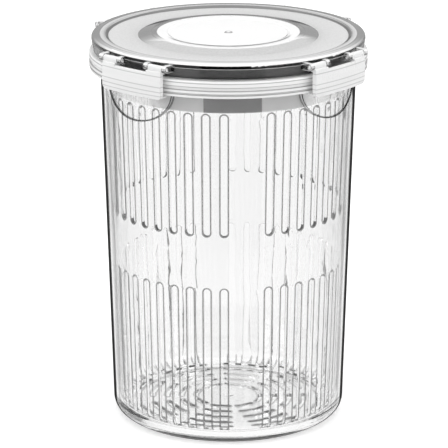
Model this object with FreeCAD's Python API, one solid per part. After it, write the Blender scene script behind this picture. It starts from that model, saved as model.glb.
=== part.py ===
import FreeCAD, Part
import math
import os

V = FreeCAD.Vector

# Round clear canister with a slotted lift-out strainer, a bail handle on the strainer, and a four-latch sealing lid.
# Millimetres. Z is up, the origin is the centre of the foot, and the front is -Y.

# Canister body
mouth_radius = 70.3         # outside radius just under the rim
taper = 5.4                 # the wall's outside radius is this much smaller at the bottom corner
wall = 2.4                  # wall thickness
corner_radius = 8.0         # outside radius of the bottom corner
inner_corner = 7.0          # inside radius of the bottom corner
floor_height = 3.8          # height of the inside floor above the table
foot_width = 13.3           # from the bottom corner's outside radius in to the hollow of the underside
foot_recess = 2.0           # depth of that hollow

# Canister rim
rim_top = 208.2             # height of the rim's top face
rim_drop = 9.2              # height of the turned-down rim
rim_reach = 6.1             # how far the rim stands out from the mouth's outside radius
rim_thickness = 2.2         # thickness of the rim's web and of its turned-down wall
rim_round = 0.8             # rounding of the rim's top edge
lip_height = 3.1            # sealing lip above the rim
upper_groove_drop = 3.4     # from the rim's top face to the wide groove round it
upper_groove_width = 1.8
upper_groove_depth = 0.7
lower_groove_drop = 6.9     # from the rim's top face to the narrow groove
lower_groove_width = 0.7
lower_groove_depth = 0.5

# Finger scoops in the body under the latches
scoop_half_width = 25.5
scoop_height = 18.8
scoop_depth = 0.8
scoop_shift = 6.0           # degrees that each scoop is turned from its latch towards the nearer side

# Strainer
side_clearance = 1.3        # between strainer and canister walls
seat_clearance = 0.3        # under the strainer
strainer_wall = 1.7
strainer_floor = 1.8
strainer_corner = 8.0       # outside radius of its bottom corner
strainer_drop = 5.0         # its top edge is this far below the rim's top face
strainer_turn = 4.7         # degrees that the strainer is turned in the canister
top_bead = 0.6              # how far the bead at its top edge stands out
top_bead_height = 1.8
collar_height = 15.4        # plain wall over the upper slots
upper_slot_length = 67.6
band_height = 30.2          # plain wall between the two rows of slots
slots_per_side = 20         # slots between one plain strip and the next
strip_angle = 21.7          # degrees from the last slot to the next side's first
slot_width = 3.7
slot_corner_reach = 5.6     # the lower slots run this far round the bottom corner
ring_slot_rings = 5
ring_slot_first = 18.0      # radius of the innermost ring of slots in the floor
ring_slot_pitch = 8.3       # from ring to ring
ring_slot_width = 2.6
ring_slot_count = 8
ring_slot_angle = 30.0      # degrees that each slot in the floor spans
hub_radius = 3.0            # moulding mark in the middle of the strainer's floor
hub_height = 0.5

# Strainer handle
pivot_drop = 5.0            # the handle's pins are this far below the strainer's top edge
handle_gap = 1.5            # between the handle and the strainer's wall
handle_width = 4.0
handle_thickness = 3.2
pivot_pin_radius = 1.6
pivot_eye_radius = 3.0
pin_clearance = 0.05        # radial, of each pin in its hole
pin_setback = 0.5           # the handle's pins end this far inside the strainer's outer face
rest_width = 14.0           # ledge that the folded handle lies on
rest_thickness = 2.0
rest_reach = 4.5

# Lid
lid_gap = 0.3               # between the lid's skirt and the canister's rim
lid_height = 8.7            # from the skirt's lower edge to the top of its bead
lid_inset = 1.4             # the lid's outside radius is this much smaller than the rim's
skirt_lean = 1.1            # the skirt's lower edge is this much further in than its top
skirt_wall = 1.7
lid_edge_round = 1.6        # rounding of the lid's outer top edge
bead_width = 7.6            # flat top of the raised bead round the lid, measured from the lid's outside radius
bead_slope = 1.6            # run of the bead's inner flank
bead_rise = 1.1             # the bead stands this far over the stacking seat
panel = 2.2                 # lid thickness
bead_wall = 2.8             # lid thickness over the gasket
boss_gap = 2.0              # between the lid's raised middle and the foot of a keeper stacked on it
boss_slope = 7.0            # run of the raised middle's flank
boss_rise = 1.6             # the raised middle stands this far over the stacking seat
dish_inset = 9.0            # from the edge of the raised middle to the shallow dish in it
dish_slope = 1.0
dish_depth = 0.5
gate_radius = 2.0           # moulding mark in the middle of the lid
gate_height = 0.25
plug_clearance = 1.3        # between the lid's plug and the canister's mouth
plug_wall = 2.0
plug_drop = 3.4             # the plug's lower edge is this far below the rim's top face

# Gasket in the lid
gasket_side_gap = 0.15      # between the gasket and the lid's walls
gasket_lip_gap = 0.3        # between the gasket and the canister's lip
gasket_foot_gap = 0.6       # between the gasket's outer leg and the canister's rim

# Latches, each measured along and across the straight line of its hinge
latch_angles = (45.0, 135.0, 225.0, 315.0)
latch_names = ("latch_right_back", "latch_left_back", "latch_left_front", "latch_right_front")
latch_gap = 1.5             # between the middle of the latch and the rim
latch_thickness = 2.4
latch_half_width = 20.7
latch_curve = 145.0         # radius of the latch's outer face, seen from above
latch_bulge = 0.25          # the outer face is this much proud half way down
latch_corner = 2.5          # rounding of the latch's lower corners, seen from the front
hook_reach = 3.5            # how far the hook turns in from the latch's inner face
hook_height = 1.4
hook_gap = 0.3              # between the hook and the rim's lower edge
hinge_rise = 5.7            # of the hinge axis over the rim's top face
hinge_setback = 1.6         # from the latch's inner face in to the hinge axis
knuckle_radius = 1.6
knuckle_inner = 11.2        # a knuckle runs from here to the latch's end
web_setback = 1.1           # the web under a knuckle stands this far inside the hinge axis
web_drop = 2.9              # and reaches this far under it
shoulder_drop = 1.3         # from the hinge axis to the latch's edge in front of a knuckle
window_drop = 2.5           # from the hinge axis to the latch's edge between the knuckles
hinge_pin_radius = 1.1
hinge_pin_length = 2.3
cheek_gap = 0.3             # between a knuckle's end and the cheek of the lid beside it
cheek_width = 2.7
cheek_radius = 1.9

# Worked out from the sizes above
base_radius = mouth_radius - taper
foot_recess_radius = base_radius - foot_width
rim_radius = mouth_radius + rim_reach
rim_foot = rim_top - rim_drop
lip_top = rim_top + lip_height
mouth_inner = mouth_radius - wall
strainer_foot = floor_height + seat_clearance
strainer_top = rim_top - strainer_drop
upper_slot_top = strainer_top - collar_height
upper_slot_bottom = upper_slot_top - upper_slot_length
lower_slot_top = upper_slot_bottom - band_height
slot_pitch = (180.0 - strip_angle) / (slots_per_side - 1)
pivot_height = strainer_top - pivot_drop
lid_radius = rim_radius - lid_inset
skirt_foot_radius = lid_radius - skirt_lean
lid_foot = rim_top + lid_gap
lid_top = lid_foot + lid_height
seat_height = lid_top - bead_rise
boss_top = seat_height + boss_rise
boss_foot_radius = foot_recess_radius - boss_gap
boss_top_radius = boss_foot_radius - boss_slope
dish_radius = boss_top_radius - dish_inset
bead_inner_radius = lid_radius - bead_width
plug_radius = mouth_inner - plug_clearance
plug_foot = rim_top - plug_drop
channel_roof = lid_top - bead_wall
skirt_inner = lid_radius - skirt_wall
skirt_foot_inner = skirt_foot_radius - skirt_wall
hinge_height = rim_top + hinge_rise
latch_inner = rim_radius + latch_gap
latch_outer = latch_inner + latch_thickness
hinge_reach = latch_inner - hinge_setback
hook_top = rim_foot - hook_gap
far = 2.0 * rim_radius      # reach of cutting tools past the part


def profile(points):
    """Closed face in the XZ half plane from (radius, height, corner rounding) points, each rounding a tangent arc."""
    count = len(points)
    starts, ends, arcs = [], [], []
    for i in range(count):
        r, z, rounding = points[i]
        here = V(r, 0, z)
        before = V(points[i - 1][0], 0, points[i - 1][1]) - here
        after = V(points[(i + 1) % count][0], 0, points[(i + 1) % count][1]) - here
        if rounding <= 0:
            starts.append(here)
            ends.append(here)
            arcs.append(None)
            continue
        before.normalize()
        after.normalize()
        half = 0.5 * before.getAngle(after)
        setback = rounding / math.tan(half)
        middle = before + after
        middle.normalize()
        centre = here + middle * (rounding / math.sin(half))
        starts.append(here + before * setback)
        ends.append(here + after * setback)
        arcs.append(centre - middle * rounding)
    edges = []
    for i in range(count):
        if arcs[i] is not None:
            edges.append(Part.Arc(starts[i], arcs[i], ends[i]).toShape())
        following = starts[(i + 1) % count]
        if ends[i].distanceToPoint(following) > 1e-6:
            edges.append(Part.makeLine(ends[i], following))
    return Part.Face(Part.Wire(edges))


def turned(points):
    """Solid of revolution about Z from a profile."""
    return profile(points).revolve(V(0, 0, 0), V(0, 0, 1), 360)


def spun(shape, angle):
    """Copy of a shape turned about Z by an angle in degrees."""
    copy = shape.copy()
    copy.rotate(V(0, 0, 0), V(0, 0, 1), angle)
    return copy


def block(x0, x1, y0, y1, z0, z1):
    """Box between two corners."""
    return Part.makeBox(x1 - x0, y1 - y0, z1 - z0, V(x0, y0, z0))


def rod(start, length, radius, direction):
    """Cylinder from a start point along a direction."""
    return Part.makeCylinder(radius, length, start, direction)


def body_radius(z):
    """Outside radius of the canister's tapered wall at a height."""
    share = (z - corner_radius) / (rim_foot - corner_radius)
    return base_radius + (mouth_radius - base_radius) * min(share, 1.0)


def strainer_radius(z):
    """Outside radius of the strainer's wall at a height, parallel to the canister's wall."""
    return body_radius(z) - wall - side_clearance


def canister_outline():
    """Section of the canister: outside from the foot up, over the rim and the lip, and down the inside."""
    upper = rim_top - upper_groove_drop
    lower = rim_top - lower_groove_drop
    web_foot = rim_top - rim_thickness
    rim_inner = rim_radius - rim_thickness
    foot_radius = body_radius(0.0)
    inner_foot = body_radius(floor_height) - wall
    return [
        (0, foot_recess, 0),
        (foot_recess_radius - foot_recess, foot_recess, 0.6),
        (foot_recess_radius, 0, 0.4),
        (foot_radius, 0, corner_radius),
        (mouth_radius, rim_foot, 0),
        (mouth_radius, web_foot, 0.5),
        (rim_inner, web_foot, 0.5),
        (rim_inner, rim_foot, 0.4),
        (rim_radius - 0.3, rim_foot, 0.6),
        (rim_radius, lower - lower_groove_width, 0.15),
        (rim_radius - lower_groove_depth, lower - lower_groove_width, 0.15),
        (rim_radius - lower_groove_depth, lower, 0.15),
        (rim_radius, lower, 0.2),
        (rim_radius, upper - upper_groove_width, 0.3),
        (rim_radius - upper_groove_depth, upper - upper_groove_width, 0.2),
        (rim_radius - upper_groove_depth, upper, 0.2),
        (rim_radius, upper, 0.3),
        (rim_radius, rim_top, rim_round),
        (mouth_radius, rim_top, 0.4),
        (mouth_radius, lip_top, 0.9),
        (mouth_inner, lip_top, 0.9),
        (mouth_inner, rim_foot, 0),
        (inner_foot, floor_height, inner_corner),
        (0, floor_height, 0),
    ]


def scoop():
    """Half-moon cutter on the -Y side that takes a thin layer off the canister's outside under a latch."""
    centre = V(0, 0, rim_foot)
    ellipse = Part.Ellipse(centre, scoop_half_width, scoop_height)
    edge = ellipse.toShape()
    edge.rotate(centre, V(1, 0, 0), 90)
    tool = Part.Face(Part.Wire(edge)).extrude(V(0, -rim_radius, 0))
    low = rim_foot - 2 * scoop_height
    core = turned([
        (0, low, 0),
        (body_radius(low) - scoop_depth, low, 0),
        (mouth_radius - scoop_depth, rim_foot, 0),
        (mouth_radius - scoop_depth, lip_top, 0),
        (0, lip_top, 0),
    ])
    limit = Part.makeCylinder(mouth_radius + rim_thickness, rim_top - rim_thickness - low, V(0, 0, low))
    return tool.cut(core).common(limit)


def make_canister():
    """Tapered body with the foot recess, the turned-down rim, the sealing lip and four finger scoops."""
    body = turned(canister_outline())
    tool = scoop()
    shifts = [-scoop_shift * math.sin(math.radians(2 * angle)) for angle in latch_angles]
    return body.cut([spun(tool, angle + 90 + shift) for angle, shift in zip(latch_angles, shifts)])


def strainer_shell():
    """Strainer without its slots: floor, round corner, tapered wall and the bead at the top edge."""
    foot = strainer_foot
    top_radius = strainer_radius(strainer_top)
    bead_foot = strainer_top - top_bead_height
    inside = strainer_radius(foot + strainer_floor) - strainer_wall
    return turned([
        (0, foot, 0),
        (strainer_radius(foot), foot, strainer_corner),
        (top_radius, rim_foot, 0),
        (top_radius, bead_foot - top_bead, 0),
        (top_radius + top_bead, bead_foot, 0.2),
        (top_radius + top_bead, strainer_top, 0.7),
        (top_radius - strainer_wall, strainer_top, 0.7),
        (top_radius - strainer_wall, rim_foot, 0),
        (inside, foot + strainer_floor, strainer_corner - strainer_wall),
        (0, foot + strainer_floor, 0),
    ])


def slot_tool(z0, z1, inner):
    """Radial cutter towards -Y for one wall slot with round ends."""
    half = slot_width / 2
    bar = block(-half, half, -rim_radius, -inner, z0 + half, z1 - half)
    ends = [rod(V(0, -inner, z), rim_radius - inner, half, V(0, -1, 0)) for z in (z0 + half, z1 - half)]
    return bar.fuse(ends)


def wall_slots():
    """Cutters for both rows of slots, in two groups with a plain strip at the front and at the back."""
    inner = strainer_radius(strainer_foot) - slot_corner_reach
    upper = slot_tool(upper_slot_bottom, upper_slot_top, inner)
    lower = slot_tool(strainer_foot - slot_width, lower_slot_top, inner)
    tools = []
    for side in (0, 180):
        for i in range(slots_per_side):
            angle = side + strip_angle / 2 + i * slot_pitch
            tools.append(spun(upper, angle))
            tools.append(spun(lower, angle))
    return tools


def floor_slots():
    """Cutters for the arc slots in the strainer's floor, ring by ring, with round ends."""
    z0, z1 = strainer_foot - hub_height, strainer_foot + strainer_floor + hub_height
    half = ring_slot_width / 2
    tools = []
    for ring in range(ring_slot_rings):
        radius = ring_slot_first + ring * ring_slot_pitch
        section = profile([
            (radius - half, z0, 0), (radius + half, z0, 0), (radius + half, z1, 0), (radius - half, z1, 0)])
        arc = section.revolve(V(0, 0, 0), V(0, 0, 1), ring_slot_angle)
        ends = [spun(rod(V(radius, 0, z0), z1 - z0, half, V(0, 0, 1)), a) for a in (0, ring_slot_angle)]
        tool = arc.fuse(ends)
        for i in range(ring_slot_count):
            start = -90 + (i + 0.5) * 360 / ring_slot_count - ring_slot_angle / 2
            tools.append(spun(tool, start))
    return tools


def handle_rest():
    """Small ledge inside the strainer's back wall that the folded handle lies on."""
    outer = strainer_radius(strainer_top) - strainer_wall / 2
    top = pivot_height - handle_thickness / 2 - seat_clearance
    ledge = block(-rest_width / 2, rest_width / 2, outer - strainer_wall / 2 - rest_reach, far, 0, rest_thickness)
    ledge.translate(V(0, 0, top - rest_thickness))
    limit = Part.makeCylinder(outer, rest_thickness, V(0, 0, top - rest_thickness))
    return ledge.common(limit)


def make_strainer():
    """Slotted basket with its floor, handle holes and handle rest, turned as it sits in the canister."""
    shell = strainer_shell()
    hole = pivot_pin_radius + pin_clearance
    pivots = rod(V(-far, 0, pivot_height), 2 * far, hole, V(1, 0, 0))
    basket = shell.cut(wall_slots() + floor_slots() + [pivots])
    hub = Part.makeCylinder(hub_radius, strainer_floor + hub_height, V(0, 0, strainer_foot))
    basket = basket.fuse([hub, handle_rest()]).removeSplitter()
    return spun(basket, strainer_turn)


def make_handle():
    """Half-round bail folded down to the back, with an eye and an outward pin at each end."""
    wall_inner = strainer_radius(strainer_top) - strainer_wall
    outer = wall_inner - handle_gap
    inner = outer - handle_width
    half = handle_thickness / 2
    section = profile([
        (inner, pivot_height - half, 0.8), (outer, pivot_height - half, 0.8),
        (outer, pivot_height + half, 0.8), (inner, pivot_height + half, 0.8)])
    bow = section.revolve(V(0, 0, 0), V(0, 0, 1), 180)
    pin_end = strainer_radius(pivot_height) - pin_setback
    pieces = []
    for side in (-1, 1):
        start = V(side * inner, 0, pivot_height)
        pieces.append(rod(start, handle_width + handle_gap / 2, pivot_eye_radius, V(side, 0, 0)))
        pieces.append(rod(start, pin_end - inner, pivot_pin_radius, V(side, 0, 0)))
    return spun(bow.fuse(pieces).removeSplitter(), strainer_turn)


def lid_outline():
    """Section of the lid: skirt, raised bead, stacking seat, raised middle with its dish, plug and gasket channel."""
    dish = boss_top - dish_depth
    under_seat = seat_height - panel
    under_boss = dish - panel
    return [
        (0, under_boss, 0),
        (boss_top_radius - panel / 2, under_boss, 0.5),
        (boss_foot_radius - panel / 2, under_seat, 0.5),
        (plug_radius - plug_wall, under_seat, 1.0),
        (plug_radius - plug_wall, plug_foot, 0.8),
        (plug_radius, plug_foot, 0.8),
        (plug_radius, channel_roof, 0.3),
        (skirt_inner, channel_roof, 0.3),
        (skirt_foot_inner, lid_foot, 0.4),
        (skirt_foot_radius, lid_foot, 0.4),
        (lid_radius, lid_top - lid_edge_round - 0.6, 0.5),
        (lid_radius, lid_top, lid_edge_round),
        (bead_inner_radius, lid_top, 0.8),
        (bead_inner_radius - bead_slope, seat_height, 0.6),
        (boss_foot_radius, seat_height, 1.0),
        (boss_top_radius, boss_top, 1.2),
        (dish_radius, boss_top, 0.5),
        (dish_radius - dish_slope, dish, 0.5),
        (0, dish, 0),
    ]


def hinge_cheeks():
    """Lid side of one latch hinge, facing -Y: four cheeks on the skirt, in pairs beside the knuckles, bored for pins."""
    hole = hinge_pin_radius + pin_clearance
    low, high = hinge_height - cheek_radius, hinge_height + cheek_radius
    pieces = []
    for side in (-1, 1):
        for start in (knuckle_inner - cheek_gap - cheek_width, latch_half_width + cheek_gap):
            near, away = sorted((side * start, side * (start + cheek_width)))
            pieces.append(block(near, away, -hinge_reach, -0.5 * hinge_reach, low, high))
            pieces.append(rod(V(near, -hinge_reach, hinge_height), cheek_width, cheek_radius, V(1, 0, 0)))
    cheeks = pieces[0].fuse(pieces[1:])
    bore = rod(V(-far, -hinge_reach, hinge_height), 2 * far, hole, V(1, 0, 0))
    core = turned([
        (0, lid_foot, 0), (skirt_foot_inner + 0.3, lid_foot, 0), (skirt_inner + 0.3, channel_roof, 0),
        (skirt_inner + 0.3, lid_top, 0), (0, lid_top, 0)])
    return cheeks.cut([bore, core])


def make_lid():
    """Turned lid with the hinge cheeks of its four latches and the moulding mark in the middle."""
    shell = turned(lid_outline())
    cheeks = hinge_cheeks()
    gate = Part.makeCylinder(gate_radius, dish_depth + gate_height, V(0, 0, boss_top - 2 * dish_depth))
    return shell.fuse([spun(cheeks, angle + 90) for angle in latch_angles] + [gate]).removeSplitter()


def make_gasket():
    """Silicone ring in the lid's channel, with an outer leg that reaches down round the canister's lip."""
    inner = plug_radius + gasket_side_gap
    web_foot = lip_top + gasket_lip_gap
    leg_inner = mouth_radius + gasket_lip_gap
    leg_foot = rim_top + gasket_foot_gap
    lean = (skirt_inner - skirt_foot_inner) / (channel_roof - lid_foot)
    top_radius = skirt_inner - gasket_side_gap
    foot_radius = top_radius - lean * (channel_roof - leg_foot)
    return turned([
        (inner, web_foot, 0.4),
        (leg_inner, web_foot, 0.3),
        (leg_inner, leg_foot, 0.3),
        (foot_radius, leg_foot, 0.3),
        (top_radius, channel_roof, 0.4),
        (inner, channel_roof, 0.4),
    ])


def latch_plate(edge, half_width):
    """Curved plate of a latch facing -Y up to a given upper edge, with the hook along its lower edge."""
    hook_foot = hook_top - hook_height
    hook_inner = latch_inner - hook_reach
    middle = 0.5 * (rim_foot + rim_top)
    centre = latch_outer - latch_curve
    section = profile([
        (hook_inner - centre, hook_foot + 0.3, 0.3),
        (latch_inner - centre, hook_foot, 0.5),
        (latch_outer - 0.5 - centre, hook_foot, 0.8),
        (latch_curve, hook_top + 0.8, 0.8),
        (latch_curve + latch_bulge, middle, 2.0),
        (latch_curve, rim_top, 1.0),
        (latch_curve - 0.4, edge, 0.6),
        (latch_inner - centre, edge, 0.4),
        (latch_inner - centre, hook_top, 0.3),
        (hook_inner - centre, hook_top, 0.3),
    ])
    turn = math.degrees(math.asin(latch_half_width / latch_curve)) + 1
    plate = section.revolve(V(0, 0, 0), V(0, 0, 1), 2 * turn)
    plate.rotate(V(0, 0, 0), V(0, 0, 1), -90 - turn)
    plate.translate(V(0, -centre, 0))
    return plate.common(latch_limit(half_width))


def latch_limit(half_width):
    """Space that a latch may fill, seen from the front: as wide as the latch, with rounded lower corners."""
    low = hook_top - hook_height
    limit = block(-half_width, half_width, -far, 0, low, lid_top)
    lower = [edge for edge in limit.Edges if edge.BoundBox.YLength > latch_corner and edge.BoundBox.ZMax < rim_foot]
    return limit.makeFillet(latch_corner, lower)


def make_latch():
    """One latch facing -Y: curved plate with its hook, two knuckles on webs behind its shoulders, and their pins."""
    plate = latch_plate(hinge_height - window_drop, latch_half_width)
    shoulders = latch_plate(hinge_height - shoulder_drop, latch_half_width)
    shoulders = shoulders.cut(block(-knuckle_inner, knuckle_inner, -far, 0, 0, lid_top))
    pieces = [shoulders]
    for side in (-1, 1):
        low, high = sorted((side * knuckle_inner, side * latch_half_width))
        start = low - hinge_pin_length
        length = high - low + 2 * hinge_pin_length
        pieces.append(rod(V(low, -hinge_reach, hinge_height), high - low, knuckle_radius, V(1, 0, 0)))
        pieces.append(rod(V(start, -hinge_reach, hinge_height), length, hinge_pin_radius, V(1, 0, 0)))
        web = block(low, high, -latch_inner - latch_thickness / 3, web_setback - hinge_reach,
                    hinge_height - web_drop, hinge_height)
        pieces.append(web.common(web_limit(low, high)))
    return plate.fuse(pieces).removeSplitter()


def web_limit(low, high):
    """Space that the web under a knuckle may fill, so that it never shows in front of the latch's outer face."""
    centre = latch_outer - latch_curve
    inside = Part.makeCylinder(latch_curve - latch_thickness / 2, lid_top, V(0, -centre, 0))
    column = block(low, high, -hinge_reach - knuckle_radius, 0, 0, lid_top)
    return inside.common(column)


def export(name, shape):
    """Writes one node's STEP file and prints what it holds."""
    solids = shape.Solids
    shape = solids[0] if len(solids) == 1 else Part.makeCompound(solids)
    shape.exportStep(os.path.join("parts", name + ".step"))
    box = shape.BoundBox
    print("%-20s solids %d  valid %s  volume %9.1f  z %.2f..%.2f  x %.2f..%.2f" % (
        name, len(solids), shape.isValid(), shape.Volume, box.ZMin, box.ZMax, box.XMin, box.XMax))


os.makedirs("parts", exist_ok=True)
export("canister", make_canister())
export("strainer", make_strainer())
export("strainer_handle", make_handle())
export("lid", make_lid())
export("lid_gasket", make_gasket())
latch = make_latch()
for latch_name, latch_angle in zip(latch_names, latch_angles):
    export(latch_name, spun(latch, latch_angle + 90))
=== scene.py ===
import math

import bpy
from mathutils import Euler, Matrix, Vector

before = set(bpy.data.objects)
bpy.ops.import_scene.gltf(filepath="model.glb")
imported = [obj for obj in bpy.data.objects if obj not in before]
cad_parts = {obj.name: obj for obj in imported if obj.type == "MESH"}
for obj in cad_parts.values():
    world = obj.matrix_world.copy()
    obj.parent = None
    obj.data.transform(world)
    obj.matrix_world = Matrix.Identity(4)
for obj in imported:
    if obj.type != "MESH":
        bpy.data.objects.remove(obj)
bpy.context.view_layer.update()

# Metres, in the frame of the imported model: +Z up, front is -Y. Angles round the axis start at the front.
# Most pairs of numbers say where a fade starts and where it ends. Grey levels and shares go from 0 to 1. How far a
# face is seen edge on goes from 0, where it looks at the viewer, to 1.

# Camera
camera_distance = 1.462       # from the keeper's axis
camera_height = 0.559
camera_azimuth = -4.2         # degrees; the keeper is turned a little to the right in the picture
camera_pitch = 17.17          # degrees below the horizon
camera_pan = 0.094            # degrees to the left of the axis
camera_lens = 219.9           # millimetres, as the sensor's width
sensor_width = 36.0
clip_end = 100.0

# Canister
scoop_half_width = 0.0255     # finger scoops under the latches, half ellipses that start at the rim's lower edge
scoop_height = 0.0188
scoop_top = 0.1990
scoop_angle = math.radians(51)            # of each scoop's middle from the front or the back
# painted shade: the dark line round each scoop stands in for the dark that the scoop's edge refracts
scoop_shade_line = (0.012, 0.028)   # half width of the dark line round a scoop and where it has faded, in scoop sizes
scoop_painted_shade = 0.86
rim_inside = 0.0703
rim_milk = 0.82               # share of milky plastic in the rim
rim_grey = 0.98
# painted shade: darker lines along the rim's grooves, at these heights
groove_lines = (0.2048, 0.2030, 0.2013, 0.2006, 0.2070)
groove_painted_shade = 0.5

# Strainer's slots
strainer_turn = math.radians(4.7)
slots_per_side = 20
strip_angle = math.radians(21.7)          # between the two groups of slots
slot_pitch = (math.pi - strip_angle) / (slots_per_side - 1)
slot_half = 0.00185
upper_slot_bottom = 0.1202
upper_slot_top = 0.1878
lower_slot_top = 0.0900
ring_slot_first = 0.0180                  # radius of the innermost ring of slots in the floor
ring_slot_pitch = 0.0083
ring_slot_last = 4
ring_slot_half = 0.0013
ring_slot_period = math.radians(45)
ring_slot_reach = math.radians(15)
floor_edge = 0.0537                       # the wall's pattern starts at this radius
# painted shade: the dark line round each slot stands in for the dark that its edges refract
slot_line = (0.0006, 0.0010)              # half width of the dark line round a slot and where it has faded
slot_painted_shade = 0.93
floor_slot_share = 0.55                   # the lines in the floor are this much as dark
slot_rounding = 0.0007                    # width of the bump along a slot's edge
strainer_grey = 0.995                     # between the slots
wave_share = 0.5                          # height of its slow waves against that bump

# Strainer's collar over the slots
collar_foot = 0.1890
# painted shade: a darker panel at the collar's front, fixed to the front
panel_middle = math.radians(-2.2)         # darker panel at the collar's front
panel_half = math.radians(13.3)
panel_soft = 0.004
panel_painted_shade = 0.2
collar_level = 0.95
collar_half = math.radians(36)            # the collar is clearer further round
collar_soft = 0.15
collar_foot_soft = 0.0002
collar_milk = 0.7                         # share of smoky plastic at the front
collar_thinning = 0.5                     # how much of it goes further round

# Lid's frosted ring, with its grey levels by radius; the dark and light rings on its bead are painted shade and
# painted highlights
frost_start = 0.0492
# painted reflection: frost drawn over the front flank of the raised middle only, fixed to the front
painted_front_frost = 0.0408          # the frost covers the front flank of the raised middle as well
lid_grey_with_painted_rings = (
    (0.0492, 0.48), (0.0530, 0.55), (0.0650, 0.60), (0.0657, 0.56), (0.0662, 0.20), (0.0667, 0.85), (0.0673, 0.80),
    (0.0677, 0.25), (0.0683, 0.45), (0.0700, 0.55), (0.0726, 0.50), (0.0732, 0.80), (0.0740, 0.65))
frost_turn = (1.0, 1.35)      # radians from the front between which the frost draws back to where it starts behind

# Lid's middle
top_faces = (0.3, 0.6)        # how far a face of the lid's top looks up
middle_milk = 0.7             # share of milky plastic
middle_grey = 0.97
gate_mark = 0.0018            # radius of the ring round the mark in the centre
gate_line = (0.0005, 0.0003)  # half width of this ring and how far it fades beyond
gate_dark = 0.7

# Lid's glossy slopes, with their grey levels by how far they are seen edge on: a painted highlight where they face the
# viewer and painted shade edge on
rounded_rings = ((0.0388, 0.0426), (0.0700, 0.0744))   # edges that fall away outwards, from radius to radius
ring_fall = 0.0008
bead_start = (0.0575, 0.0585)             # the bead's slopes lie outside these radii
middle_start = (0.0360, 0.0370)           # and the middle's lie outside these, at the back only
flat_look = (0.978, 0.990)                # a slope looks up less than this
flank_painted_light = ((0.0, 0.88), (0.50, 0.82), (0.64, 0.50), (0.75, 0.16), (0.87, 0.04), (1.0, 0.02))

# Lid's dark lines, painted shade along its edges, with their half width at the front and the back and at the sides
middle_edge = 0.0420
middle_edge_turn = (1.8, 2.1)             # radians from the front between which the middle's back edge appears
bead_foot = 0.0664
dish_line = 0.0350
line_half = (0.0015, 0.0007)
line_soft = (0.5, 1.3)                    # in half widths
line_share = 0.85
painted_line_grey = 0.04

# Lid's skirt, with painted shade where it is seen edge on
skirt_edge = (0.42, 0.75)
skirt_painted_shade = 0.6
skirt_shade_grey = 0.12

# Latches: heights of the fine dark lines drawn across them
latch_lines = (0.2100, 0.2043, 0.2017, 0.1995)
latch_line_dark = 0.3
latch_satin = 0.8             # share of satin plastic, and the same for the handle
handle_satin = 0.75

# Edges of clear plastic: how far edge on it is seen where it starts to turn dark and where it is darkest, and the
# share and the grey level of the dark
body_edge = (0.785, 0.825)
strainer_edge = (0.86, 0.95, 0.4, 0.3)
lid_edge = (0.84, 0.95, 0.9)
latch_edge = (0.88, 0.96, 0.7, 0.1)

# Uneven skins: scale and detail of the noise, how it is stretched, and its lowest and highest grey level
grain_scale = 1100.0
body_waves = (45.0, 1.0, (1, 1, 0.3), 0.985, 1.0)
strainer_waves = (70.0, 2.0, (1, 1, 0.25), 0.85, 1.15)
lid_grain = (grain_scale, 3.0, (1, 1, 1), 0.78, 1.22)
latch_streaks = (500.0, 2.0, (0.08, 0.08, 1.0), 0.9, 1.0)
latch_grain = (grain_scale, 2.0)
handle_mottle = (220.0, 3.0, (1, 1, 1), 0.74, 0.86)
gasket_grain = (grain_scale, 3.0)
gasket_patches = (90.0, 4.0, (1, 1, 1), 0.008, 0.022)
skin_depth = {"canister": 0.0003, "strainer": 0.0002, "lid": 0.0001, "latch": 0.00012, "handle": 0.00008,
              "gasket": 0.00005}

# Lines and faces
fine_line = (0.0001, 0.0003)              # half width of a moulded line and how far it fades beyond
ring_soft = 0.0006                        # fade at the edge of a ring
outer_faces = (0.6, 0.8)                  # how far a face of the skirt looks away from the axis
slot_faces = (0.4, 0.6)                   # the same for the strainer's wall, and upwards for its floor

# Stage
floor_half = 12.0
floor_grey = 0.8
floor_glow = 0.42             # white that only the camera sees on the floor
floor_white = 1.0             # the floor through clear plastic, and near the keeper in reflections
world_light = 0.95            # lights the keeper, and is seen behind it in reflections
front_light = 0.6             # the two front lights and the floor before them, seen in reflections
gap_light = 0.03              # the dark room between these two lights, seen in reflections
studio_gap_middle = math.radians(-0.7)
studio_gap_half = math.radians(26.5)
studio_gap_fade = 0.03
white_floor_end = (0.3, 0.4)              # from the keeper, in reflections
front_turn = (-0.2, 0.2)                  # between the front and the back of the world, along Y
lamp_target = (0, 0, 0.1)
lamps = (("top_softbox", (0.0, 0.2, 1.6), 1.4, 10), ("left_softbox", (-1.5, -0.9, 1.0), 1.0, 9),
         ("right_softbox", (1.5, -0.9, 1.0), 1.0, 9))   # name, place, size and watts


def new_material(name):
    """Empty material with its output node."""
    material = bpy.data.materials.new(name)
    material.use_nodes = True
    material.node_tree.nodes.clear()
    output = material.node_tree.nodes.new("ShaderNodeOutputMaterial")
    return material, material.node_tree, output


def add(tree, kind, **values):
    """New node in a tree, with plain values set on its inputs or on the node itself."""
    node = tree.nodes.new(kind)
    for key, value in values.items():
        name = key.replace("_", " ")
        if name in node.inputs:
            node.inputs[name].default_value = value
        else:
            setattr(node, key, value)
    return node


def calc(tree, operation, *values):
    """Result of one math operation on sockets or plain numbers."""
    node = add(tree, "ShaderNodeMath", operation=operation)
    for socket, value in zip(node.inputs, values):
        if isinstance(value, (int, float)):
            socket.default_value = value
        else:
            tree.links.new(value, socket)
    return node.outputs[0]


def fade(tree, value, start, end, low=0.0, high=1.0):
    """Smooth step of a value: low up to start, high from end on."""
    node = add(tree, "ShaderNodeMapRange", interpolation_type="SMOOTHSTEP")
    for name, number in (("From Min", start), ("From Max", end), ("To Min", low), ("To Max", high)):
        node.inputs[name].default_value = number
    tree.links.new(value, node.inputs["Value"])
    return node.outputs["Result"]


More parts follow.
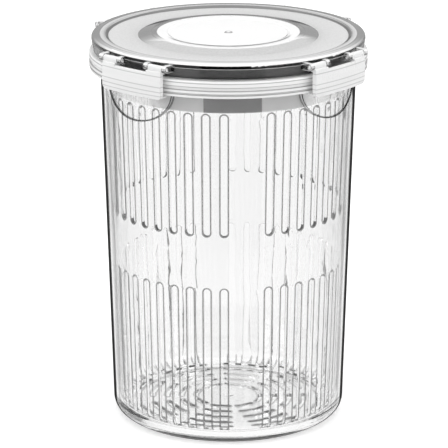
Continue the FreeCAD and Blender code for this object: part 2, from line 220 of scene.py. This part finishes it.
def blend(tree, share, first, second):
    """First value, and the second one where the share is 1."""
    return calc(tree, "ADD", first, calc(tree, "MULTIPLY", share, calc(tree, "SUBTRACT", second, first)))


def grey(tree, value):
    """Colour of one grey level from a value."""
    node = add(tree, "ShaderNodeCombineColor")
    for socket in node.inputs:
        tree.links.new(value, socket)
    return node.outputs[0]


def levels(tree, value, stops):
    """Grey level that follows a value through (value, level) stops, as a colour."""
    first, last = stops[0][0], stops[-1][0]
    share = calc(tree, "DIVIDE", calc(tree, "SUBTRACT", value, first), last - first)
    node = add(tree, "ShaderNodeValToRGB")
    elements = node.color_ramp.elements
    while len(elements) < len(stops):
        elements.new(0.5)
    for element, (place, level) in zip(elements, stops):
        element.position = (place - first) / (last - first)
        element.color = (level, level, level, 1)
    tree.links.new(share, node.inputs["Fac"])
    return node.outputs["Color"]


def gap_to(tree, value, place):
    """How far a value is from a place."""
    return calc(tree, "ABSOLUTE", calc(tree, "SUBTRACT", value, place))


def near_any(tree, value, places, half, soft):
    """1 where a value is within half of one of the places, fading to 0 over the next soft."""
    total = 0.0
    for place in places:
        total = calc(tree, "MAXIMUM", fade(tree, gap_to(tree, value, place), half, half + soft, 1.0, 0.0), total)
    return total


def length(tree, first, second):
    """Length of the hypotenuse over two values."""
    return calc(tree, "SQRT", calc(tree, "ADD", calc(tree, "MULTIPLY", first, first),
                                   calc(tree, "MULTIPLY", second, second)))


def coordinates(tree, kind="Object"):
    """One output of the texture coordinates, and its three parts."""
    place = add(tree, "ShaderNodeTexCoord").outputs[kind]
    parts = add(tree, "ShaderNodeSeparateXYZ")
    tree.links.new(place, parts.inputs[0])
    return place, parts.outputs


def from_front(tree, x, y):
    """Angle round the axis from the front."""
    return calc(tree, "ARCTAN2", x, calc(tree, "MULTIPLY", y, -1.0))


def polar(tree):
    """Radius, angle from the front and height of a point on the keeper, with its coordinates for the skin."""
    place, (x, y, z) = coordinates(tree)
    return place, length(tree, x, y), from_front(tree, x, y), z


def upward(tree):
    """How far a face looks up, from -1 to 1."""
    return coordinates(tree, "Normal")[1][2]


def outward(tree):
    """How far a face looks away from the axis, from -1 to 1."""
    place = add(tree, "ShaderNodeTexCoord")
    flat = add(tree, "ShaderNodeVectorMath", operation="MULTIPLY")
    flat.inputs[1].default_value = (1, 1, 0)
    tree.links.new(place.outputs["Object"], flat.inputs[0])
    away = add(tree, "ShaderNodeVectorMath", operation="NORMALIZE")
    tree.links.new(flat.outputs[0], away.inputs[0])
    both = add(tree, "ShaderNodeVectorMath", operation="DOT_PRODUCT")
    tree.links.new(away.outputs[0], both.inputs[0])
    tree.links.new(place.outputs["Normal"], both.inputs[1])
    return both.outputs["Value"]


def make_skin_group():
    """Effect that every finish here uses: an uneven pattern on the keeper's own coordinates.
    It gives a height from 0 to 1 for bumps, and a grey level from Low to High that follows it."""
    group = bpy.data.node_groups.new("uneven_skin", "ShaderNodeTree")
    for name, kind, value in (("Place", "Vector", (0, 0, 0)), ("Stretch", "Vector", (1, 1, 1)),
                              ("Scale", "Float", grain_scale), ("Detail", "Float", 2.0),
                              ("Low", "Float", 0.0), ("High", "Float", 1.0)):
        socket = group.interface.new_socket(name=name, in_out="INPUT", socket_type="NodeSocket" + kind)
        socket.default_value = value
    for name in ("Height", "Level"):
        group.interface.new_socket(name=name, in_out="OUTPUT", socket_type="NodeSocketFloat")
    inlet, outlet = add(group, "NodeGroupInput"), add(group, "NodeGroupOutput")
    stretched = add(group, "ShaderNodeVectorMath", operation="MULTIPLY")
    texture, spread = add(group, "ShaderNodeTexNoise"), add(group, "ShaderNodeMapRange")
    for source, target in (
            (inlet.outputs["Place"], stretched.inputs[0]), (inlet.outputs["Stretch"], stretched.inputs[1]),
            (stretched.outputs[0], texture.inputs["Vector"]), (inlet.outputs["Scale"], texture.inputs["Scale"]),
            (inlet.outputs["Detail"], texture.inputs["Detail"]), (texture.outputs["Fac"], outlet.inputs["Height"]),
            (texture.outputs["Fac"], spread.inputs["Value"]), (inlet.outputs["Low"], spread.inputs["To Min"]),
            (inlet.outputs["High"], spread.inputs["To Max"]), (spread.outputs["Result"], outlet.inputs["Level"])):
        group.links.new(source, target)
    return group


def skin(tree, place, scale, detail=2.0, stretch=(1, 1, 1), low=0.0, high=1.0):
    """Outputs Height and Level of the shared uneven skin, with one material's own values."""
    node = add(tree, "ShaderNodeGroup", node_tree=skin_group)
    tree.links.new(place, node.inputs["Place"])
    for name, value in (("Stretch", stretch), ("Scale", scale), ("Detail", detail), ("Low", low), ("High", high)):
        node.inputs[name].default_value = value
    return node.outputs


def bump(tree, height, distance):
    """Normal of a surface raised by a height from 0 to 1 times a distance."""
    node = add(tree, "ShaderNodeBump", Strength=1.0, Distance=distance)
    tree.links.new(height, node.inputs["Height"])
    return node.outputs["Normal"]


def principled(tree, roughness, colour, normal):
    """Plastic or rubber of one roughness, with a grey level or a colour that changes over the surface."""
    shader = add(tree, "ShaderNodeBsdfPrincipled", Roughness=roughness, IOR=1.5)
    if isinstance(colour, float):
        shader.inputs["Base Color"].default_value = (colour, colour, colour, 1)
    else:
        tree.links.new(colour, shader.inputs["Base Color"])
    if normal is not None:
        tree.links.new(normal, shader.inputs["Normal"])
    return shader


def clear_shader(tree, roughness, colour, normal=None):
    """Clear moulded plastic."""
    shader = principled(tree, roughness, colour, normal)
    shader.inputs["Transmission Weight"].default_value = 1.0
    return shader.outputs["BSDF"]


def solid_shader(tree, roughness, colour, normal=None):
    """Opaque plastic or rubber."""
    return principled(tree, roughness, colour, normal).outputs["BSDF"]


def mix(tree, share, first, second):
    """First shader, and the second one where the share is 1."""
    node = add(tree, "ShaderNodeMixShader")
    if isinstance(share, (int, float)):
        node.inputs[0].default_value = share
    else:
        tree.links.new(share, node.inputs[0])
    tree.links.new(first, node.inputs[1])
    tree.links.new(second, node.inputs[2])
    return node.outputs[0]


def facing(tree, normal=None):
    """0 where a face looks at the viewer, 1 where it is seen edge on."""
    weight = add(tree, "ShaderNodeLayerWeight", Blend=0.5)
    if normal is not None:
        tree.links.new(normal, weight.inputs["Normal"])
    return weight.outputs["Facing"]


def dark_edge(tree, shader, start, end, share=1.0, level=0.03):
    """Turns clear plastic dark where it is seen edge on, as light from the dark room behind the viewer does."""
    dark = add(tree, "ShaderNodeBsdfDiffuse")
    dark.inputs["Color"].default_value = (level, level, level, 1)
    return mix(tree, fade(tree, facing(tree), start, end, 0.0, share), shader, dark.outputs[0])


def slot_distance(tree, radius, angle, height):
    """Distance from the nearest slot's edge, negative in the slot.
    On the wall a slot is a capsule: width along the wall by height. In the floor it is an arc with round ends."""
    turned = calc(tree, "SUBTRACT", angle, strainer_turn)
    along = calc(tree, "SUBTRACT", calc(tree, "WRAP", turned, math.pi, 0.0), strip_angle / 2)
    count = calc(tree, "DIVIDE", along, slot_pitch)
    nearest = calc(tree, "MINIMUM", calc(tree, "MAXIMUM", calc(tree, "ROUND", count), 0.0), slots_per_side - 1)
    across = calc(tree, "MULTIPLY", calc(tree, "MULTIPLY", calc(tree, "SUBTRACT", count, nearest), slot_pitch), radius)
    middle = 0.5 * (upper_slot_bottom + upper_slot_top)
    straight = 0.5 * (upper_slot_top - upper_slot_bottom) - slot_half
    past_upper = calc(tree, "SUBTRACT", gap_to(tree, height, middle), straight)
    past_lower = calc(tree, "SUBTRACT", height, lower_slot_top - slot_half)
    past = calc(tree, "MAXIMUM", calc(tree, "MINIMUM", past_upper, past_lower), 0.0)
    wall = calc(tree, "SUBTRACT", length(tree, across, past), slot_half)
    ring = calc(tree, "DIVIDE", calc(tree, "SUBTRACT", radius, ring_slot_first), ring_slot_pitch)
    near_ring = calc(tree, "MINIMUM", calc(tree, "MAXIMUM", calc(tree, "ROUND", ring), 0.0), ring_slot_last)
    out = calc(tree, "MULTIPLY", calc(tree, "SUBTRACT", ring, near_ring), ring_slot_pitch)
    half_period = ring_slot_period / 2
    swing = calc(tree, "WRAP", calc(tree, "SUBTRACT", turned, half_period), half_period, -half_period)
    over = calc(tree, "MAXIMUM", calc(tree, "SUBTRACT", calc(tree, "ABSOLUTE", swing), ring_slot_reach), 0.0)
    arc = calc(tree, "SUBTRACT", length(tree, out, calc(tree, "MULTIPLY", over, radius)), ring_slot_half)
    in_floor = calc(tree, "LESS_THAN", radius, floor_edge)
    return calc(tree, "ADD", wall, calc(tree, "MULTIPLY", in_floor, calc(tree, "SUBTRACT", arc, wall)))


def canister_plastic():
    """Clear glossy plastic with slow waves from moulding, a painted dark line round each finger scoop that stands in
    for the dark its edge refracts, and a milky rim with painted shade along its grooves.
    """
    material, tree, output = new_material("clear_plastic")
    place, radius, angle, height = polar(tree)
    front = calc(tree, "ABSOLUTE", angle)
    folded = calc(tree, "MINIMUM", front, calc(tree, "SUBTRACT", math.pi, front))
    side = calc(tree, "SINE", calc(tree, "SUBTRACT", folded, scoop_angle))
    across = calc(tree, "DIVIDE", calc(tree, "MULTIPLY", side, radius), scoop_half_width)
    down = calc(tree, "DIVIDE", calc(tree, "SUBTRACT", height, scoop_top), scoop_height)
    ring = gap_to(tree, length(tree, across, down), 1.0)
    # painted shade: a dark line round each finger scoop
    line = calc(tree, "MULTIPLY", fade(tree, ring, *scoop_shade_line, 1.0, 0.0), calc(tree, "LESS_THAN", height, scoop_top))
    waves = skin(tree, place, *body_waves)
    grey_with_painted_shade = calc(tree, "SUBTRACT", waves["Level"], calc(tree, "MULTIPLY", line, scoop_painted_shade))
    clear = clear_shader(tree, 0.0, grey(tree, grey_with_painted_shade), bump(tree, waves["Height"], skin_depth["canister"]))
    shader = dark_edge(tree, clear, *body_edge)
    # painted shade along the rim's grooves
    groove_shade_lines = near_any(tree, height, groove_lines, *fine_line)
    rim_level = calc(tree, "SUBTRACT", rim_grey, calc(tree, "MULTIPLY", groove_shade_lines, groove_painted_shade))
    rim = solid_shader(tree, 0.2, grey(tree, rim_level))
    share = fade(tree, radius, rim_inside, rim_inside + ring_soft, 0.0, rim_milk)
    tree.links.new(mix(tree, share, shader, rim), output.inputs["Surface"])
    return material


def strainer_plastic():
    """Clear plastic whose slots have rounded edges with painted dark outlines, painted shade for the dark their edges
    refract, with a smoky collar and painted shade on a darker panel at its front. The painted outlines are drawn on
    the wall's outside as seen from outside, and on top of the floor."""
    material, tree, output = new_material("strainer_plastic")
    place, radius, angle, height = polar(tree)
    distance = slot_distance(tree, radius, angle, height)
    # painted shade: dark outlines round the slots
    line = fade(tree, calc(tree, "ABSOLUTE", distance), *slot_line, 1.0, 0.0)
    back = add(tree, "ShaderNodeNewGeometry").outputs["Backfacing"]
    near = calc(tree, "MULTIPLY", fade(tree, outward(tree), *slot_faces), calc(tree, "SUBTRACT", 1.0, back))
    floor_top = calc(tree, "MULTIPLY", fade(tree, upward(tree), *slot_faces), floor_slot_share)
    painted_shade_depth = calc(tree, "MULTIPLY", calc(tree, "MAXIMUM", near, floor_top), slot_painted_shade)
    grey_with_painted_shade = calc(tree, "SUBTRACT", strainer_grey, calc(tree, "MULTIPLY", line, painted_shade_depth))
    rounding = calc(tree, "MULTIPLY", fade(tree, distance, 0.0, slot_rounding), near)
    waves = skin(tree, place, *strainer_waves)
    uneven = calc(tree, "ADD", rounding, calc(tree, "MULTIPLY", waves["Height"], wave_share))
    normal = bump(tree, uneven, skin_depth["strainer"])
    clear = dark_edge(tree, clear_shader(tree, 0.0, grey(tree, grey_with_painted_shade), normal), *strainer_edge)
    # painted shade: the darker panel at the collar's front
    outside = gap_to(tree, angle, panel_middle)
    collar_grey_with_painted_panel = fade(tree, outside, panel_half - panel_soft, panel_half + panel_soft, panel_painted_shade, collar_level)
    wide = fade(tree, outside, collar_half - collar_soft, collar_half + collar_soft)
    collar = solid_shader(tree, 0.3, grey(tree, calc(tree, "MULTIPLY", collar_grey_with_painted_panel, waves["Level"])))
    milky = calc(tree, "SUBTRACT", collar_milk, calc(tree, "MULTIPLY", wide, collar_thinning))
    above = fade(tree, height, collar_foot - collar_foot_soft, collar_foot + collar_foot_soft)
    share = calc(tree, "MULTIPLY", above, milky)
    tree.links.new(mix(tree, share, clear, collar), output.inputs["Surface"])
    return material


def lid_slopes(tree, radius, up, look_up, back):
    """Share of the lid's glossy slopes at a point, and their shader, with a painted highlight where they face the
    viewer and painted shade where they are seen edge on. The height of their bump falls by one step over each rounded
    ring."""
    fall, rounded = 0.0, 0.0
    for start, end in rounded_rings:
        fall = calc(tree, "ADD", fade(tree, radius, start, end, 1.0, 0.0), fall)
        inside = fade(tree, radius, start, start + ring_soft)
        ring = calc(tree, "MULTIPLY", inside, fade(tree, radius, end, end + ring_soft, 1.0, 0.0))
        rounded = calc(tree, "MAXIMUM", ring, rounded)
    normal = bump(tree, fall, ring_fall)
    # painted highlight and painted shade, by how far the slope is seen edge on
    flank = solid_shader(tree, 0.08, levels(tree, facing(tree, normal), flank_painted_light), normal)
    sloping = calc(tree, "MAXIMUM", fade(tree, look_up, *flat_look, 1.0, 0.0), rounded)
    on_middle = calc(tree, "MULTIPLY", back, fade(tree, radius, *middle_start))
    shown = calc(tree, "MAXIMUM", fade(tree, radius, *bead_start), on_middle)
    return calc(tree, "MULTIPLY", calc(tree, "MULTIPLY", up, sloping), shown), flank


def lid_painted_shade_lines(tree, radius, angle, aside, up, front):
    """Share of the painted shade lines on the lid's top, wider at the front and the back than at the sides."""
    half = fade(tree, calc(tree, "ABSOLUTE", calc(tree, "SINE", angle)), 0.0, 1.0, *line_half)
    drawn = 0.0
    for place, shown in ((middle_edge, fade(tree, aside, *middle_edge_turn)), (bead_foot, 1.0), (dish_line, front)):
        gap = calc(tree, "DIVIDE", gap_to(tree, radius, place), half)
        drawn = calc(tree, "MAXIMUM", calc(tree, "MULTIPLY", fade(tree, gap, *line_soft, 1.0, 0.0), shown), drawn)
    return calc(tree, "MULTIPLY", calc(tree, "MULTIPLY", drawn, up), line_share)


def lid_plastic():
    """Clear glossy middle, a finely grained frosted ring whose grey levels paint shade and highlights on the bead,
    frost painted over the front of the middle's flank as a painted reflection, glossy slopes with painted highlights
    and painted shade, painted shade lines along the edges, and painted shade on the skirt where it is seen edge on."""
    material, tree, output = new_material("lid_plastic")
    place, radius, angle, _ = polar(tree)
    look_up = upward(tree)
    up = fade(tree, look_up, *top_faces)
    aside = calc(tree, "ABSOLUTE", angle)
    back = fade(tree, aside, *frost_turn)
    grain = skin(tree, place, *lid_grain)
    # frost grain, with painted shade and painted highlights as rings on the bead
    speckled_with_painted_rings = calc(tree, "MULTIPLY", levels(tree, radius, lid_grey_with_painted_rings), grain["Level"])
    frosted = solid_shader(tree, 0.35, speckled_with_painted_rings, bump(tree, grain["Height"], skin_depth["lid"]))
    mark = near_any(tree, radius, (gate_mark,), *gate_line)
    level = calc(tree, "SUBTRACT", middle_grey, calc(tree, "MULTIPLY", mark, gate_dark))
    milky = solid_shader(tree, 0.1, grey(tree, level))
    centre = mix(tree, calc(tree, "MULTIPLY", up, middle_milk), clear_shader(tree, 0.02, 0.98), milky)
    # painted reflection: the frost reaches further in at the front
    past = calc(tree, "SUBTRACT", radius, fade(tree, aside, *frost_turn, painted_front_frost, frost_start))
    frost = calc(tree, "MULTIPLY", up, fade(tree, past, 0.0, ring_soft))
    top = dark_edge(tree, mix(tree, frost, centre, frosted), *lid_edge)
    sloping, flank = lid_slopes(tree, radius, up, look_up, back)
    # painted shade: dark lines along the lid's edges
    lines = lid_painted_shade_lines(tree, radius, angle, aside, up, calc(tree, "SUBTRACT", 1.0, back))
    lined = mix(tree, lines, mix(tree, sloping, top, flank), solid_shader(tree, 0.3, painted_line_grey))
    # painted shade on the skirt where it is seen edge on
    skirt = calc(tree, "MULTIPLY", fade(tree, facing(tree), *skirt_edge, 0.0, skirt_painted_shade),
                 fade(tree, outward(tree), *outer_faces))
    tree.links.new(mix(tree, skirt, lined, solid_shader(tree, 0.2, skirt_shade_grey)), output.inputs["Surface"])
    return material


def latch_plastic():
    """Satin, half clear plastic that scatters light, with fine dark lines across the latch at fixed heights."""
    material, tree, output = new_material("frosted_plastic")
    place, (_, _, height) = coordinates(tree)
    streaks = skin(tree, place, *latch_streaks)
    grain = skin(tree, place, *latch_grain)["Height"]
    lines = near_any(tree, height, latch_lines, *fine_line)
    level = calc(tree, "SUBTRACT", streaks["Level"], calc(tree, "MULTIPLY", lines, latch_line_dark))
    normal = bump(tree, calc(tree, "ADD", streaks["Height"], grain), skin_depth["latch"])
    satin = solid_shader(tree, 0.3, grey(tree, level), normal)
    both = mix(tree, latch_satin, clear_shader(tree, 0.12, 0.95, normal), satin)
    tree.links.new(dark_edge(tree, both, *latch_edge), output.inputs["Surface"])
    return material


def handle_plastic():
    """White, slightly translucent plastic with a satin skin."""
    material, tree, output = new_material("handle_plastic")
    place, _ = coordinates(tree)
    mottle = skin(tree, place, *handle_mottle)
    satin = solid_shader(tree, 0.35, grey(tree, mottle["Level"]), bump(tree, mottle["Height"], skin_depth["handle"]))
    tree.links.new(mix(tree, handle_satin, clear_shader(tree, 0.25, 0.95), satin), output.inputs["Surface"])
    return material


def gasket_silicone():
    """Dark grey silicone with a fine matt skin and slightly lighter patches."""
    material, tree, output = new_material("gasket_silicone")
    place, _ = coordinates(tree)
    grain = skin(tree, place, *gasket_grain)["Height"]
    patches = skin(tree, place, *gasket_patches)["Level"]
    shader = solid_shader(tree, 0.38, grey(tree, patches), bump(tree, grain, skin_depth["gasket"]))
    tree.links.new(shader, output.inputs["Surface"])
    return material


def dress(node, material):
    """Puts one material on a CAD node."""
    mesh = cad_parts[node].data
    mesh.materials.clear()
    mesh.materials.append(material)


def front_studio(tree, x, y):
    """Light that reflections see in front of the keeper, from a direction or a place on the floor: two wide lights,
    with a dark room between them."""
    off = gap_to(tree, from_front(tree, x, y), studio_gap_middle)
    gap = fade(tree, off, studio_gap_half - studio_gap_fade, studio_gap_half + studio_gap_fade, 1.0, 0.0)
    return calc(tree, "SUBTRACT", front_light, calc(tree, "MULTIPLY", gap, front_light - gap_light))


def seen_how(tree):
    """Three values, 1 where a ray is the camera's own, was mirrored on the way, or came through clear plastic."""
    path = add(tree, "ShaderNodeLightPath").outputs
    through = path["Is Transmission Ray"]
    mirrored = calc(tree, "MULTIPLY", path["Is Glossy Ray"], calc(tree, "SUBTRACT", 1.0, through))
    return path["Is Camera Ray"], mirrored, through


def floor_shader(tree, output):
    """Pale diffuse floor that keeps the shadow, with a plain white glow for the camera. Clear plastic sees it white,
    and reflections see it white near the keeper and like the front of the studio further off."""
    camera, mirrored, through = seen_how(tree)
    place, (x, y, _) = coordinates(tree)
    away = add(tree, "ShaderNodeVectorMath", operation="LENGTH")
    tree.links.new(place, away.inputs[0])
    reflected = blend(tree, fade(tree, away.outputs["Value"], *white_floor_end), floor_white, front_studio(tree, x, y))
    own = calc(tree, "ADD", calc(tree, "MULTIPLY", camera, floor_glow), calc(tree, "MULTIPLY", through, floor_white))
    emission = add(tree, "ShaderNodeEmission")
    tree.links.new(calc(tree, "ADD", own, calc(tree, "MULTIPLY", mirrored, reflected)), emission.inputs["Strength"])
    diffuse = add(tree, "ShaderNodeBsdfDiffuse")
    kept = calc(tree, "SUBTRACT", 1.0, calc(tree, "MAXIMUM", mirrored, through))
    tree.links.new(grey(tree, calc(tree, "MULTIPLY", floor_grey, kept)), diffuse.inputs["Color"])
    both = add(tree, "ShaderNodeAddShader")
    tree.links.new(emission.outputs[0], both.inputs[0])
    tree.links.new(diffuse.outputs[0], both.inputs[1])
    tree.links.new(both.outputs[0], output.inputs["Surface"])


def make_floor():
    """Plain pale floor under the keeper."""
    mesh = bpy.data.meshes.new("floor")
    half = floor_half
    mesh.from_pydata([(-half, -half, 0), (half, -half, 0), (half, half, 0), (-half, half, 0)], [], [(0, 1, 2, 3)])
    floor = bpy.data.objects.new("floor", mesh)
    bpy.context.scene.collection.objects.link(floor)
    material, tree, output = new_material("floor_white")
    floor_shader(tree, output)
    mesh.materials.append(material)


def make_world():
    """White studio: full white to the camera and through the plastic, softer for lighting and in reflections.
    Reflections get darker towards the front, where the room behind the camera is."""
    world = bpy.data.worlds.new("studio")
    bpy.context.scene.world = world
    world.use_nodes = True
    tree = world.node_tree
    tree.nodes.clear()
    output = add(tree, "ShaderNodeOutputWorld")
    background = add(tree, "ShaderNodeBackground")
    camera, mirrored, through = seen_how(tree)
    _, (x, y, _) = coordinates(tree, "Generated")
    reflected = blend(tree, fade(tree, y, *front_turn), front_studio(tree, x, y), world_light)
    seen = calc(tree, "MAXIMUM", camera, through)
    lit = calc(tree, "SUBTRACT", 1.0, calc(tree, "MAXIMUM", seen, mirrored))
    strength = calc(tree, "ADD", calc(tree, "ADD", seen, calc(tree, "MULTIPLY", mirrored, reflected)),
                    calc(tree, "MULTIPLY", lit, world_light))
    tree.links.new(strength, background.inputs["Strength"])
    tree.links.new(background.outputs[0], output.inputs["Surface"])


def make_lamp(name, place, size, power):
    """Soft square area lamp aimed at the keeper."""
    data = bpy.data.lights.new(name, "AREA")
    data.shape = "SQUARE"
    data.size = size
    data.energy = power
    lamp = bpy.data.objects.new(name, data)
    lamp.location = place
    lamp.rotation_euler = (Vector(lamp_target) - Vector(place)).to_track_quat("-Z", "Y").to_euler()
    bpy.context.scene.collection.objects.link(lamp)


def make_camera():
    """Camera of the photograph."""
    data = bpy.data.cameras.new("camera")
    data.lens = camera_lens
    data.sensor_width = sensor_width
    data.clip_end = clip_end
    camera = bpy.data.objects.new("camera", data)
    turn = math.radians(camera_azimuth)
    camera.location = (camera_distance * math.sin(turn), -camera_distance * math.cos(turn), camera_height)
    camera.rotation_euler = Euler((math.radians(90 - camera_pitch), 0, turn + math.radians(camera_pan)))
    bpy.context.scene.collection.objects.link(camera)
    bpy.context.scene.camera = camera


skin_group = make_skin_group()
latch_material = latch_plastic()
dress("canister", canister_plastic())
dress("strainer", strainer_plastic())
dress("strainer_handle", handle_plastic())
dress("lid", lid_plastic())
dress("lid_gasket", gasket_silicone())
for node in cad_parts:
    if node.startswith("latch_"):
        dress(node, latch_material)

make_floor()
make_world()
for lamp in lamps:
    make_lamp(*lamp)
make_camera()
bpy.context.scene.view_settings.view_transform = "Standard"
